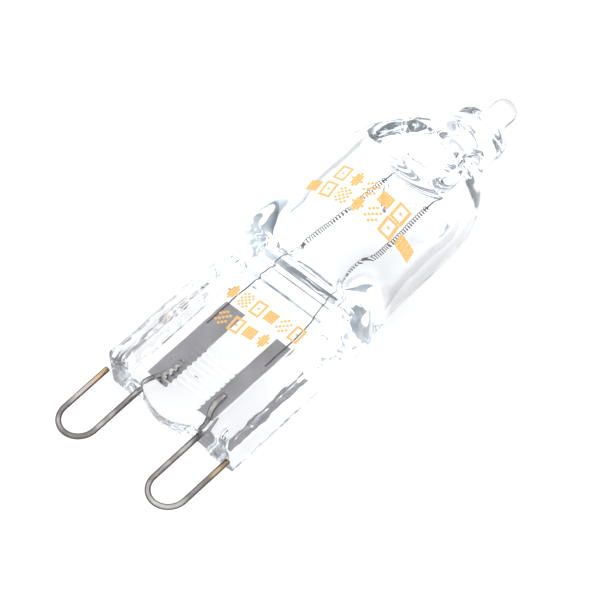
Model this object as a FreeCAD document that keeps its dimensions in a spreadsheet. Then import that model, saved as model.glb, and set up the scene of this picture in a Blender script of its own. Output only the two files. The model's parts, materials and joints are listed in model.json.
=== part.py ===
import FreeCAD, Part
import math
import os

import Sketcher
from FreeCAD import Placement, Rotation, Vector

# A mains halogen capsule lamp with a two-loop plug-in base. One piece of quartz glass makes the
# bulb and the flat pinch below it. Inside the pinch each hairpin contact wire is welded to a
# sealing foil, each foil carries a thin inner lead, and the two leads hold the coiled filament,
# whose crossing wire is gripped by the dimpled bridge near the dome.
#
# The lamp's own axes: X runs up the lamp from the foot of the pinch to the exhaust tip, Y runs
# across the width, and Z points out of the printed front face. All pieces then share one
# placement, in which the lamp lies on its back, on the bulb's belly and the feet of both rails.

doc = FreeCAD.newDocument("halogen_capsule_lamp")

# Driving dimensions, in millimetres

SIZES = (
    # contact wires
    ("contact_pitch", 9.0, "middle of one loop to the middle of the other"),
    ("wire_diameter", 0.45, "round contact wire"),
    ("loop_leg_spacing", 3.05, "middle to middle of the two legs of a loop"),
    ("loop_reach", 6.27, "foot of the rails to the outermost point of a loop"),
    ("free_end_gap", 0.12, "free end of a loop to the foot of its rail"),
    ("free_end_rounding", 0.09, "rounding of the cut free end"),
    ("weld_crank", 0.8, "sideways crank of the leg inside the glass"),
    ("weld_crank_start", 0.3, "where the crank begins above the foot"),
    ("weld_crank_run", 2.6, "length of the crank"),
    ("weld_length", 0.7, "straight end of the contact wire past the crank"),
    ("weld_sink", 0.07, "depth of the flats pressed on the welded end"),
    # sealing foils
    ("foil_width", 1.9, "foil across the lamp"),
    ("foil_length", 8.15, "foil along the lamp"),
    ("foil_thickness", 0.04, "foil at its middle"),
    ("foil_feather", 0.2, "width of each etched feather edge"),
    ("foil_start", 1.4, "lower end of the foils above the foot"),
    ("foil_offset", 2.52, "middle of each foil from the middle plane"),
    # inner leads
    ("lead_diameter", 0.12, "inner lead and bare filament wire"),
    ("lead_overlap", 2.3, "length of the inner lead laid on its foil"),
    ("lead_outset_left", 0.66, "left lead from the middle of its foil, outwards"),
    ("lead_outset_right", 0.1, "right lead from the middle of its foil, outwards"),
    ("lead_tail", 0.4, "straight stretch above the foil before the lead bends"),
    # filament, which stands on the middle of the bulb
    ("coil_diameter", 0.42, "outside of the coiled legs"),
    ("coil_clearance", 0.9, "foot of the hollow to the lower end of the coils"),
    ("coil_length", 9.5, "coiled legs along the lamp"),
    ("coil_foot_spacing", 5.06, "between the lower ends of the two coiled legs"),
    ("coil_head_spacing", 4.1, "between the upper ends of the two coiled legs"),
    ("crossing_rise", 1.9, "upper end of the coils to the wire that crosses in the bridge"),
    ("crossing_bend", 0.6, "bend radius of the crossing wire"),
    # pinch
    ("pinch_width", 12.1, "over both rails"),
    ("pinch_length", 14.8, "foot of the rails to the neck of the bulb"),
    ("rail_width", 2.15, "each side rail across the lamp"),
    ("rail_depth", 5.0, "side rails front to back"),
    ("rail_corner", 0.85, "rounding of the outer corners of the rails"),
    ("rail_inner_corner", 0.3, "rounding of the inner corners of the rails"),
    ("rail_foot_rounding", 1.2, "rounding of the feet, seen from the side"),
    ("web_thickness", 2.4, "flat web between the rails"),
    ("web_root", 0.5, "fillet between web and rail"),
    ("lip_width", 5.0, "rounded lip of the web between the contact wires"),
    ("lip_depth", 0.95, "lip below the foot of the rails"),
    ("nub_height", 9.4, "retention nubs above the foot"),
    ("nub_radius", 0.85, "retention nub seen from its side"),
    ("nub_rise", 0.28, "retention nub proud of its rail"),
    ("press_line_start", 1.0, "first press line on the web"),
    ("press_line_pitch", 0.5, "between press lines"),
    ("press_line_depth", 0.09, "depth of a press line"),
    ("press_line_length", 2.5, "press lines across the lamp"),
    ("press_line_count", 9.0, "number of press lines"),
    # steps where the web runs into the neck, measured down from the neck
    ("first_step_drop", 2.8, "foot of the first step below the neck"),
    ("first_step_rise", 0.35, "first step above the web"),
    ("second_step_drop", 1.5, "foot of the second step below the neck"),
    ("second_step_rise", 0.5, "second step above the first"),
    ("step_slope", 0.25, "run of each step's slope"),
    # bulb
    ("bulb_diameter", 11.7, "outside of the bulb"),
    ("bulb_offset", 0.45, "bulb out of the middle of the pinch, to the left"),
    ("bulb_wall", 1.0, "glass wall of the bulb"),
    ("neck_swell", 0.2, "bulb's radius at the neck over its radius at the dome"),
    ("neck_taper", 6.0, "length over which the swell runs out"),
    ("shoulder_drop", 0.7, "where the flat pinch begins to swell, below the neck"),
    ("shoulder_run", 4.9, "length of the shoulder"),
    ("dome_drop", 2.4, "end of the straight bulb wall, below the crossing wire"),
    ("dome_fall", 0.85, "how far the round of the dome falls in before it tapers straight"),
    ("dome_length", 7.4, "straight bulb wall to the collar of the exhaust tip"),
    ("cavity_lift", 0.2, "lowest point of the hollow above the neck"),
    ("cavity_foot_width", 4.6, "width of the hollow at its foot"),
    ("cavity_foot_depth", 0.9, "front to back of the hollow at its foot"),
    ("cavity_run", 4.2, "length over which the hollow reaches its full diameter"),
    # exhaust tip
    ("collar_diameter", 4.6, "collar of the exhaust tip"),
    ("collar_length", 0.8, "straight collar of the exhaust tip"),
    ("collar_run", 1.7, "length over which the collar narrows to the tip"),
    ("tip_diameter", 2.05, "exhaust tip"),
    ("tip_length", 1.9, "exhaust tip above its collar"),
    ("tip_offset", 0.5, "exhaust tip out of the bulb's axis, to the right"),
    ("tip_bore", 0.9, "sealed cone left by the exhaust tube"),
    ("tip_bore_length", 1.2, "point of the sealed cone above the foot of the collar"),
    # dimpled bridge
    ("dimple_mouth_width", 6.4, "dimple across the lamp, at the bulb's surface"),
    ("dimple_mouth_length", 4.0, "dimple along the lamp, at the bulb's surface"),
    ("dimple_waist_width", 5.2, "dimple across the lamp, half way down"),
    ("dimple_waist_length", 2.4, "dimple along the lamp, half way down"),
    ("dimple_waist_depth", 2.6, "half way down, from the middle plane"),
    ("dimple_floor_width", 4.3, "dimple across the lamp, at its floor"),
    ("dimple_floor_length", 1.5, "dimple along the lamp, at its floor"),
    ("bridge_thickness", 0.9, "glass left between the two dimples"),
    ("dimple_wall", 0.75, "glass round the dimples"),
    # how far a cutting shape reaches past the surface that it cuts
    ("cut_margin", 0.4, "past the cut surface"),
)


# Corners closer than this are one corner
SAME_CORNER = 1e-6


class Size:
    """A length with the formula that ties it to the sheet of driving dimensions."""

    def __init__(self, number, formula):
        self.number = number
        self.formula = formula

    def _join(self, sign, other, number):
        formula = other.formula if isinstance(other, Size) else repr(other)
        return Size(number, f"({self.formula} {sign} {formula})")

    def __add__(self, other):
        return self._join("+", other, self.number + number_of(other))

    def __sub__(self, other):
        return self._join("-", other, self.number - number_of(other))

    def __mul__(self, other):
        return self._join("*", other, self.number * number_of(other))

    def __truediv__(self, other):
        return self._join("/", other, self.number / number_of(other))

    def __neg__(self):
        return Size(-self.number, f"(-1 * {self.formula})")

    def root(self):
        return Size(math.sqrt(self.number), f"sqrt({self.formula})")


def number_of(value):
    """The plain number of a Size, or of a number."""
    return value.number if isinstance(value, Size) else float(value)


def tie(target, path, size):
    """Bind one property of an object to the formula of a size."""
    target.setExpression(path, size.formula)


sheet = doc.addObject("Spreadsheet::Sheet", "sizes")
size = {}
for row, (alias, value, note) in enumerate(SIZES, start=1):
    sheet.set(f"A{row}", alias)
    sheet.set(f"B{row}", str(value))
    sheet.set(f"C{row}", note)
    sheet.setAlias(f"B{row}", alias)
    size[alias] = Size(value, f"sizes.{alias}")
doc.recompute()


class Outline:
    """A sketch outline of lines and arcs whose corners and radii are bound to the sheet."""

    def __init__(self, body, plane, name, offset=None):
        self.sketch = body.newObject("Sketcher::SketchObject", name)
        origin = body.Origin.OriginFeatures
        self.sketch.AttachmentSupport = [(next(o for o in origin if o.Role == plane), "")]
        self.sketch.MapMode = "FlatFace"
        for axis, distance in (offset or {}).items():
            tie(self.sketch, f".AttachmentOffset.Base.{axis}", distance)
        self.here = None
        self.first = None
        self.last = None

    def start(self, x, y):
        self.here = (x, y)
        self.first = None
        self.last = None
        return self

    def line_to(self, x, y):
        begin = vector(*self.here)
        edge = self.sketch.addGeometry(Part.LineSegment(begin, vector(x, y)), False)
        self._link(edge, 1, 2, x, y)
        return self

    def arc_to(self, x, y, radius, turn):
        """An arc shorter than half a circle; turn is 1 when it bends left and -1 when right."""
        begin, end = vector(*self.here), vector(x, y)
        chord = end - begin
        middle = (begin + end) * 0.5
        reach = number_of(radius)
        height = math.sqrt(max(reach ** 2 - (chord.Length / 2) ** 2, 0.0))
        left = Vector(-chord.y, chord.x, 0).normalize()
        centre = middle + left * (height * turn)
        angles = [math.atan2(p.y - centre.y, p.x - centre.x) for p in (begin, end)]
        if turn < 0:
            angles.reverse()
        circle = Part.Circle(centre, Vector(0, 0, 1), reach)
        edge = self.sketch.addGeometry(Part.ArcOfCircle(circle, *angles), False)
        self._link(edge, 1 if turn > 0 else 2, 2 if turn > 0 else 1, x, y)
        index = self.sketch.addConstraint(Sketcher.Constraint("Radius", edge, reach))
        self.sketch.setExpression(f"Constraints[{index}]", radius.formula)
        return self

    def half_turn_to(self, x, y, middle_x, middle_y, turn):
        """Half a circle about a given middle."""
        begin, centre = vector(*self.here), vector(middle_x, middle_y)
        first = math.atan2(begin.y - centre.y, begin.x - centre.x)
        angles = (first, first + math.pi) if turn > 0 else (first - math.pi, first)
        circle = Part.Circle(centre, Vector(0, 0, 1), (begin - centre).Length)
        edge = self.sketch.addGeometry(Part.ArcOfCircle(circle, *angles), False)
        self._link(edge, 1 if turn > 0 else 2, 2 if turn > 0 else 1, x, y)
        upright = abs(centre.x - begin.x) < SAME_CORNER
        if upright:
            self._place(edge, 3, "DistanceX", middle_x)
        else:
            self._place(edge, 3, "DistanceY", middle_y)
        return self

    def s_bend_to(self, x, y, turn):
        """Two equal arcs that leave and arrive along the sketch's first axis."""
        begin_x, begin_y = self.here
        run, rise = x - begin_x, y - begin_y
        rise = rise if number_of(rise) > 0 else -rise
        radius = (run * run + rise * rise) / (rise * 4)
        middle = ((begin_x + x) / 2, (begin_y + y) / 2)
        self.arc_to(*middle, radius, turn)
        self.arc_to(x, y, radius, -turn)
        return self

    def close(self):
        return self.line_to(*self.first_corner)

    def circle(self, x, y, diameter):
        centre = vector(x, y)
        reach = number_of(diameter) / 2
        edge = self.sketch.addGeometry(Part.Circle(centre, Vector(0, 0, 1), reach), False)
        self._place(edge, 3, "DistanceX", x)
        self._place(edge, 3, "DistanceY", y)
        index = self.sketch.addConstraint(Sketcher.Constraint("Diameter", edge, 2 * reach))
        tie(self.sketch, f"Constraints[{index}]", diameter)
        return self

    def _link(self, edge, begin_end, far_end, x, y):
        if self.last is None:
            self.first_corner = self.here
            self.first = (edge, begin_end)
            self._place(edge, begin_end, "DistanceX", self.here[0])
            self._place(edge, begin_end, "DistanceY", self.here[1])
        else:
            self._join(edge, begin_end, *self.last)
        self.last = (edge, far_end)
        self.here = (x, y)
        if vector(x, y).distanceToPoint(vector(*self.first_corner)) < SAME_CORNER:
            self._join(*self.last, *self.first)
        else:
            self._place(edge, far_end, "DistanceX", x)
            self._place(edge, far_end, "DistanceY", y)

    def _join(self, edge, end, other, other_end):
        self.sketch.addConstraint(Sketcher.Constraint("Coincident", edge, end, other, other_end))

    def _place(self, edge, end, kind, distance):
        if not isinstance(distance, Size):
            axis = -2 if kind == "DistanceX" else -1
            self.sketch.addConstraint(Sketcher.Constraint("PointOnObject", edge, end, axis))
            return
        rule = Sketcher.Constraint(kind, -1, 1, edge, end, distance.number)
        index = self.sketch.addConstraint(rule)
        tie(self.sketch, f"Constraints[{index}]", distance)


def vector(x, y):
    return Vector(number_of(x), number_of(y), 0)


def new_body(label):
    body = doc.addObject("PartDesign::Body", label)
    body.Label = label
    return body


def feature(body, kind, name, profile=None):
    made = body.newObject(f"PartDesign::{kind}", name)
    if profile is not None:
        made.Profile = profile.sketch
    return made


def both_sides(made, length=None):
    """Let a pad or pocket run equally to both sides of its sketch."""
    made.SideType = "Symmetric"
    if length is None:
        made.Type = "ThroughAll"
    else:
        tie(made, "Length", length)
    return made


def mirrored(body, name, plane, originals):
    copy = feature(body, "Mirrored", name)
    copy.Originals = originals
    copy.MirrorPlane = (next(o for o in body.Origin.OriginFeatures if o.Role == plane), [""])
    body.Tip = copy
    return copy


def turned(body, kind, name, profile, axis="H_Axis"):
    made = feature(body, kind, name, profile)
    made.ReferenceAxis = (profile.sketch, [axis])
    made.Angle = 360
    return made


def swept(body, name, section, path):
    pipe = feature(body, "AdditivePipe", name, section)
    pipe.Spine = (path.sketch, [])
    return pipe


def lofted(body, kind, name, sections):
    loft = feature(body, kind, name, sections[0])
    loft.Sections = [(section.sketch, [""]) for section in sections[1:]]
    return loft


# Sizes that follow from the driving dimensions

half_width = size["pinch_width"] / 2
half_depth = size["rail_depth"] / 2
half_web = size["web_thickness"] / 2
rail_inner = half_width - size["rail_width"]
bulb_radius = size["bulb_diameter"] / 2
inner_radius = bulb_radius - size["bulb_wall"]
wire_radius = size["wire_diameter"] / 2
half_loop = size["loop_leg_spacing"] / 2
inner_leg = size["contact_pitch"] / 2 - half_loop
outer_leg = size["contact_pitch"] / 2 + half_loop
loop_centre = size["contact_pitch"] / 2
foil_front = size["weld_sink"] - wire_radius
foil_middle = foil_front - size["foil_thickness"] / 2
foil_end = size["foil_start"] + size["foil_length"]
lead_level = foil_front + size["lead_diameter"] / 2
lead_left_offset = size["foil_offset"] + size["lead_outset_left"]
lead_right_offset = size["foil_offset"] + size["lead_outset_right"]
neck = size["pinch_length"]
cavity_foot = neck + size["cavity_lift"]
coil_start = cavity_foot + size["coil_clearance"]
coil_end = coil_start + size["coil_length"]
half_coil_foot = size["coil_foot_spacing"] / 2
half_coil_head = size["coil_head_spacing"] / 2
crossing_height = coil_end + size["crossing_rise"]
shoulder_start = neck - size["shoulder_drop"]
shoulder_end = shoulder_start + size["shoulder_run"]
dome_start = crossing_height - size["dome_drop"]
collar_start = dome_start + size["dome_length"]
collar_end = collar_start + size["collar_length"] + size["collar_run"]
tip_end = collar_end + size["tip_length"]


# Contact wires: hairpin loops with a cranked, flattened end welded on the foil

def make_contact_wire(label, side):
    body = new_body(label)
    loop_middle = wire_radius + half_loop - size["loop_reach"]
    crank_top = size["weld_crank_start"] + size["weld_crank_run"]
    path = Outline(body, "XY_Plane", f"{label}_path")
    path.start(-size["free_end_gap"], outer_leg * side)
    path.line_to(loop_middle, outer_leg * side)
    path.half_turn_to(loop_middle, inner_leg * side, loop_middle, loop_centre * side, side)
    path.line_to(size["weld_crank_start"], inner_leg * side)
    path.s_bend_to(crank_top, (inner_leg - size["weld_crank"]) * side, -side)
    path.line_to(crank_top + size["weld_length"], (inner_leg - size["weld_crank"]) * side)
    section = Outline(body, "YZ_Plane", f"{label}_section", {"z": -size["free_end_gap"]})
    section.circle(outer_leg * side, 0, size["wire_diameter"])
    doc.recompute()
    swept(body, f"{label}_wire", section, path)
    doc.recompute()

    far = crank_top + size["weld_length"] + size["wire_diameter"]
    start = size["foil_start"] - size["weld_sink"]
    depth = wire_radius - size["weld_sink"]
    flats = Outline(body, "XZ_Plane", f"{label}_flats")
    for face in (-1, 1):
        flats.start(start, depth * face)
        flats.line_to(far, depth * face).line_to(far, size["wire_diameter"] * face)
        flats.line_to(start, size["wire_diameter"] * face).close()
    flattened = both_sides(feature(body, "Pocket", f"{label}_weld_flats", flats))
    doc.recompute()

    # burr-free rounding of the cut free end
    free_end = Vector(-size["free_end_gap"].number, outer_leg.number * side, 0)
    rim = next(
        f"Edge{index}" for index, edge in enumerate(flattened.Shape.Edges, start=1)
        if (edge.CenterOfMass - free_end).Length < SAME_CORNER
    )
    rounding = feature(body, "Fillet", f"{label}_free_end")
    rounding.Base = (flattened, [rim])
    tie(rounding, "Radius", size["free_end_rounding"])
    doc.recompute()
    return body


# Sealing foils: thin strips with feather edges

def make_foil(label, side):
    body = new_body(label)
    half_foil = size["foil_width"] / 2
    flat = half_foil - size["foil_feather"]
    middle = size["foil_offset"] * side
    back = foil_middle - size["foil_thickness"] / 2
    section = Outline(body, "YZ_Plane", f"{label}_section", {"z": size["foil_start"]})
    section.start(middle - half_foil, foil_middle)
    section.line_to(middle - flat, back).line_to(middle + flat, back)
    section.line_to(middle + half_foil, foil_middle)
    section.line_to(middle + flat, foil_front).line_to(middle - flat, foil_front).close()
    strip = feature(body, "Pad", f"{label}_strip", section)
    tie(strip, "Length", size["foil_length"])
    doc.recompute()
    return body


# Inner leads: thin wires from the front of each foil to the foot of each coil

def make_inner_lead(label, side, offset):
    coil_foot = half_coil_foot * side + size["bulb_offset"]
    body = new_body(label)
    begin = foil_end - size["lead_overlap"]
    path = Outline(body, "XY_Plane", f"{label}_path", {"z": lead_level})
    path.start(begin, offset * side).line_to(foil_end + size["lead_tail"], offset * side)
    path.s_bend_to(coil_start, coil_foot, -1 if coil_foot.number < offset.number * side else 1)
    section = Outline(body, "YZ_Plane", f"{label}_section", {"z": begin})
    section.circle(offset * side, lead_level, size["lead_diameter"])
    doc.recompute()
    swept(body, f"{label}_wire", section, path)
    doc.recompute()
    return body


# Filament: two coiled legs joined by the bare wire that crosses in the bridge

def make_filament():
    body = new_body("filament")
    bend = size["crossing_bend"]
    wire_foot = coil_end - size["coil_diameter"]
    turn_foot = crossing_height - bend
    across = {"y": size["bulb_offset"], "z": lead_level}
    crossing = Outline(body, "XY_Plane", "crossing_path", across)
    crossing.start(wire_foot, half_coil_head).line_to(turn_foot, half_coil_head)
    crossing.arc_to(crossing_height, half_coil_head - bend, bend, -1)
    crossing.line_to(crossing_height, bend - half_coil_head)
    crossing.arc_to(turn_foot, -half_coil_head, bend, -1)
    crossing.line_to(wire_foot, -half_coil_head)
    wire = Outline(body, "YZ_Plane", "crossing_section", {"z": wire_foot})
    wire.circle(half_coil_head + size["bulb_offset"], lead_level, size["lead_diameter"])
    doc.recompute()
    swept(body, "crossing_wire", wire, crossing)
    for name, side in (("left", 1), ("right", -1)):
        leg = Outline(body, "XY_Plane", f"{name}_coil_path", across)
        leg.start(coil_start, half_coil_foot * side).line_to(coil_end, half_coil_head * side)
        section = Outline(body, "YZ_Plane", f"{name}_coil_section", {"z": coil_start})
        middle = half_coil_foot * side + size["bulb_offset"]
        section.circle(middle, lead_level, size["coil_diameter"])
        doc.recompute()
        swept(body, f"{name}_coiled_leg", section, leg)
    doc.recompute()
    return body


# Oval cross-sections of the dimples, wide across the lamp and short along it

def oval(body, name, width, length, level):
    place = {"x": crossing_height, "y": size["bulb_offset"], "z": level}
    outline = Outline(body, "XY_Plane", name, place)
    end = (width - length) / 2
    half = length / 2
    outline.start(-half, -end).line_to(-half, end)
    outline.half_turn_to(half, end, 0, end, -1)
    outline.line_to(half, -end)
    outline.half_turn_to(-half, -end, 0, -end, -1)
    return outline


def make_dimples(body, name, wall, floor_level):
    """Sink a tapering oval from the front and from the back, with a wall round it."""
    extra = wall * 2
    mouth_level = bulb_radius + size["cut_margin"]
    sections = (
        oval(body, f"{name}_mouth", size["dimple_mouth_width"] + extra,
             size["dimple_mouth_length"] + extra, mouth_level),
        oval(body, f"{name}_waist", size["dimple_waist_width"] + extra,
             size["dimple_waist_length"] + extra, size["dimple_waist_depth"]),
        oval(body, f"{name}_floor", size["dimple_floor_width"] + extra,
             size["dimple_floor_length"] + extra, floor_level),
    )
    doc.recompute()
    dimple = lofted(body, "SubtractiveLoft", name, sections)
    dimple.Ruled = True
    doc.recompute()
    mirrored(body, f"{name}_both", "XY_Plane", [dimple])
    doc.recompute()


# Glass blank: the outer form of pinch, bulb and exhaust tip

def make_glass_blank():
    body = new_body("glass_blank")

    corner = size["rail_corner"]
    lip_corner = size["rail_inner_corner"]
    root = size["web_root"]
    profile = Outline(body, "YZ_Plane", "pinch_section")
    profile.start(rail_inner + lip_corner, half_depth)
    profile.line_to(half_width - corner, half_depth)
    profile.arc_to(half_width, half_depth - corner, corner, -1)
    profile.line_to(half_width, corner - half_depth)
    profile.arc_to(half_width - corner, -half_depth, corner, -1)
    profile.line_to(rail_inner + lip_corner, -half_depth)
    profile.arc_to(rail_inner, lip_corner - half_depth, lip_corner, -1)
    profile.line_to(rail_inner, -half_web - root)
    profile.arc_to(rail_inner - root, -half_web, root, 1)
    profile.line_to(root - rail_inner, -half_web)
    profile.arc_to(-rail_inner, -half_web - root, root, 1)
    profile.line_to(-rail_inner, lip_corner - half_depth)
    profile.arc_to(-rail_inner - lip_corner, -half_depth, lip_corner, -1)
    profile.line_to(corner - half_width, -half_depth)
    profile.arc_to(-half_width, corner - half_depth, corner, -1)
    profile.line_to(-half_width, half_depth - corner)
    profile.arc_to(corner - half_width, half_depth, corner, -1)
    profile.line_to(-rail_inner - lip_corner, half_depth)
    profile.arc_to(-rail_inner, half_depth - lip_corner, lip_corner, -1)
    profile.line_to(-rail_inner, half_web + root)
    profile.arc_to(root - rail_inner, half_web, root, 1)
    profile.line_to(rail_inner - root, half_web)
    profile.arc_to(rail_inner, half_web + root, root, 1)
    profile.line_to(rail_inner, half_depth - lip_corner)
    profile.arc_to(rail_inner + lip_corner, half_depth, lip_corner, -1)
    pinch = feature(body, "Pad", "pinch", profile)
    tie(pinch, "Length", size["pinch_length"])
    doc.recompute()

    # rounded feet of the rails, seen from the side
    rounding = size["rail_foot_rounding"]
    below = -size["lip_depth"] - 1
    feet = Outline(body, "XZ_Plane", "rail_feet")
    for face in (-1, 1):
        feet.start(0, (half_depth - rounding) * face)
        feet.arc_to(rounding, half_depth * face, rounding, -face)
        feet.line_to(rounding, (half_depth + 1) * face).line_to(below, (half_depth + 1) * face)
        feet.line_to(below, (half_depth - rounding) * face).close()
    both_sides(feature(body, "Pocket", "rounded_feet", feet))
    doc.recompute()

    # lip of the web between the contact wires
    half_lip = size["lip_width"] / 2
    depth = size["lip_depth"]
    bow = (half_lip * half_lip + depth * depth) / (depth * 2)
    lip = Outline(body, "XY_Plane", "lip_outline")
    lip.start(0, half_lip).arc_to(0, -half_lip, bow, 1)
    lip.line_to(size["foil_start"], -half_lip).line_to(size["foil_start"], half_lip).close()
    both_sides(feature(body, "Pad", "web_lip", lip), size["web_thickness"])
    doc.recompute()

    # two steps where the web runs into the neck
    slope = size["step_slope"]
    first_foot = neck - size["first_step_drop"]
    second_foot = neck - size["second_step_drop"]
    first_level = half_web + size["first_step_rise"]
    second_level = first_level + size["second_step_rise"]
    levels = (
        (first_foot, half_web),
        (first_foot + slope, first_level),
        (second_foot, first_level),
        (second_foot + slope, second_level),
        (neck, second_level),
    )
    steps = Outline(body, "XZ_Plane", "step_outline")
    steps.start(*levels[0])
    for along, up in levels[1:]:
        steps.line_to(along, up)
    for along, up in reversed(levels):
        steps.line_to(along, -up)
    steps.close()
    both_sides(feature(body, "Pad", "steps", steps), rail_inner * 2)
    doc.recompute()

    # bulb: a tube that swells a little at its neck and tapers to the collar in a rounded dome
    neck_radius = bulb_radius + size["neck_swell"]
    round_end = dome_start + dome_round(bulb_radius, size["dome_fall"])
    collar_radius = size["collar_diameter"] / 2
    bulb = Outline(body, "XY_Plane", "bulb_outline", {"y": size["bulb_offset"]})
    bulb.start(neck, 0).line_to(neck, neck_radius)
    bulb.line_to(neck + size["neck_taper"], bulb_radius).line_to(dome_start, bulb_radius)
    bulb.arc_to(round_end, bulb_radius - size["dome_fall"], bulb_radius, -1)
    bulb.line_to(collar_start, collar_radius).line_to(collar_start, 0).close()
    turned(body, "Revolution", "bulb", bulb)
    doc.recompute()

    # shoulders: front and back swell from the flat pinch to the round bulb
    above = neck_radius + size["cut_margin"]
    shoulders = Outline(body, "XZ_Plane", "shoulder_outline")
    for face in (-1, 1):
        shoulders.start(shoulder_start, half_depth * face)
        shoulders.s_bend_to(shoulder_end, bulb_radius * face, face)
        shoulders.line_to(shoulder_end, above * face)
        shoulders.line_to(shoulder_start, above * face).close()
    both_sides(feature(body, "Pocket", "shoulders", shoulders))
    doc.recompute()

    # exhaust tip: a collar that narrows to a rod with a melted round end
    tip_radius = size["tip_diameter"] / 2
    collar_root = collar_start - size["bulb_wall"] / 2
    aside = {"y": size["bulb_offset"] - size["tip_offset"]}
    tip = Outline(body, "XY_Plane", "tip_outline", aside)
    tip.start(collar_root, 0).line_to(collar_root, collar_radius)
    tip.line_to(collar_start + size["collar_length"], collar_radius)
    tip.s_bend_to(collar_end, tip_radius, -1)
    tip.line_to(tip_end - tip_radius, tip_radius).arc_to(tip_end, 0, tip_radius, -1).close()
    turned(body, "Revolution", "exhaust_tip", tip)
    doc.recompute()

    # nubs on the outer sides of the rails, which snap into a lampholder
    nub_bow_over = size["nub_rise"] * 2
    nub_bow = (size["nub_radius"] * size["nub_radius"] + size["nub_rise"] * size["nub_rise"])
    nub = Outline(body, "XY_Plane", "nub_outline", {"x": size["nub_height"], "y": half_width})
    nub.start(0, -size["cut_margin"]).line_to(size["nub_radius"], -size["cut_margin"])
    nub.line_to(size["nub_radius"], 0)
    nub.arc_to(0, size["nub_rise"], nub_bow / nub_bow_over, 1).close()
    left_nub = turned(body, "Revolution", "left_nub", nub, "V_Axis")
    doc.recompute()
    mirrored(body, "both_nubs", "XZ_Plane", [left_nub])
    doc.recompute()

    make_dimples(body, "dimple", 0, size["bridge_thickness"] / 2)

    # press lines across the front of the web, between the foils
    line_depth = size["press_line_depth"]
    line_start = size["press_line_start"]
    press = Outline(body, "XZ_Plane", "press_line_outline")
    press.start(line_start - line_depth * 2, half_web + line_depth)
    press.line_to(line_start, half_web - line_depth)
    press.line_to(line_start + line_depth * 2, half_web + line_depth).close()
    first_line = both_sides(feature(body, "Pocket", "press_line", press), size["press_line_length"])
    doc.recompute()
    lines = feature(body, "LinearPattern", "press_lines")
    lines.Originals = [first_line]
    lines.Direction = (next(o for o in body.Origin.OriginFeatures if o.Role == "X_Axis"), [""])
    tie(lines, "Length", size["press_line_pitch"] * (size["press_line_count"] - 1))
    tie(lines, "Occurrences", size["press_line_count"])
    body.Tip = lines
    doc.recompute()
    return body


# Hollow of the bulb: round above, flattened to a slot at its foot, pierced by the bridge

def make_hollow():
    body = new_body("bulb_hollow")
    wall = size["bulb_wall"]
    half_foot = size["cavity_foot_width"] / 2
    half_slot = size["cavity_foot_depth"] / 2
    full = cavity_foot + size["cavity_run"]
    half_bore = size["tip_bore"] / 2
    inner_fall = size["dome_fall"] * inner_radius / bulb_radius
    round_end = dome_start + dome_round(inner_radius, inner_fall)
    hollow = Outline(body, "XY_Plane", "hollow_outline", {"y": size["bulb_offset"]})
    hollow.start(cavity_foot, 0).line_to(cavity_foot, half_foot)
    hollow.line_to(full, inner_radius).line_to(dome_start, inner_radius)
    hollow.arc_to(round_end, inner_radius - inner_fall, inner_radius, -1)
    hollow.line_to(collar_start - wall, size["collar_diameter"] / 2 - wall)
    hollow.line_to(collar_start - wall, 0).close()
    turned(body, "Revolution", "hollow", hollow)
    doc.recompute()

    above = inner_radius + size["cut_margin"]
    slot = Outline(body, "XZ_Plane", "slot_outline")
    for face in (-1, 1):
        slot.start(cavity_foot, half_slot * face).s_bend_to(full, inner_radius * face, face)
        slot.line_to(full, above * face).line_to(cavity_foot, above * face).close()
    both_sides(feature(body, "Pocket", "flattened_foot", slot))
    doc.recompute()

    root = collar_start - wall - size["cut_margin"]
    aside = {"y": size["bulb_offset"] - size["tip_offset"]}
    bore = Outline(body, "XY_Plane", "sealed_bore_outline", aside)
    bore.start(root, 0).line_to(root, half_bore)
    bore.line_to(collar_start + size["tip_bore_length"], 0).close()
    turned(body, "Revolution", "sealed_bore", bore)
    doc.recompute()

    make_dimples(body, "pillar", size["dimple_wall"], -size["bridge_thickness"] / 2)
    return body


def dome_round(radius, fall):
    """Length of a round dome, as wide as its tube, that has fallen in by this much."""
    return (fall * (radius * 2 - fall)).root()


# The pieces

contact_wires = (
    make_contact_wire("contact_wire_left", 1),
    make_contact_wire("contact_wire_right", -1),
)
foils = (
    make_foil("sealing_foil_left", 1),
    make_foil("sealing_foil_right", -1),
)
inner_leads = (
    make_inner_lead("inner_lead_left", 1, lead_left_offset),
    make_inner_lead("inner_lead_right", -1, lead_right_offset),
)
filament = make_filament()
glass_blank = make_glass_blank()
bulb_hollow = make_hollow()

# The glass is melted round the metal, so each metal piece leaves its own exact seat

inside = (*contact_wires, *foils, *inner_leads, filament)
melted_round = doc.addObject("Part::MultiFuse", "hollow_and_seats")
melted_round.Shapes = [bulb_hollow, *inside]
glass = doc.addObject("Part::Cut", "glass_envelope")
glass.Label = "glass_envelope"
glass.Base = glass_blank
glass.Tool = melted_round
doc.recompute()


# Resting place: the line that touches the rounded feet and the swelling shoulder lies level

def resting_placement():
    foot_rounding = size["rail_foot_rounding"].number
    rise = bulb_radius.number - half_depth.number
    run = size["shoulder_run"].number
    swell_rounding = (run ** 2 + rise ** 2) / (4 * rise)
    foot = Vector(foot_rounding, 0, foot_rounding - half_depth.number)
    swell = Vector(shoulder_end.number, 0, swell_rounding - bulb_radius.number)
    apart = swell - foot
    slope = math.atan2(-apart.z, apart.x)
    slope += math.asin((swell_rounding - foot_rounding) / apart.Length)
    lean = Placement(Vector(), Rotation(Vector(0, -1, 0), math.degrees(slope)))
    box = None
    for piece in (glass_blank, *contact_wires):
        solid = piece.Shape.copy()
        solid.Placement = lean.multiply(solid.Placement)
        here = solid.optimalBoundingBox(False)
        if box is None:
            box = here
        else:
            box.add(here)
    return Placement(Vector(-box.Center.x, -box.Center.y, -box.ZMin), lean.Rotation)


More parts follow.
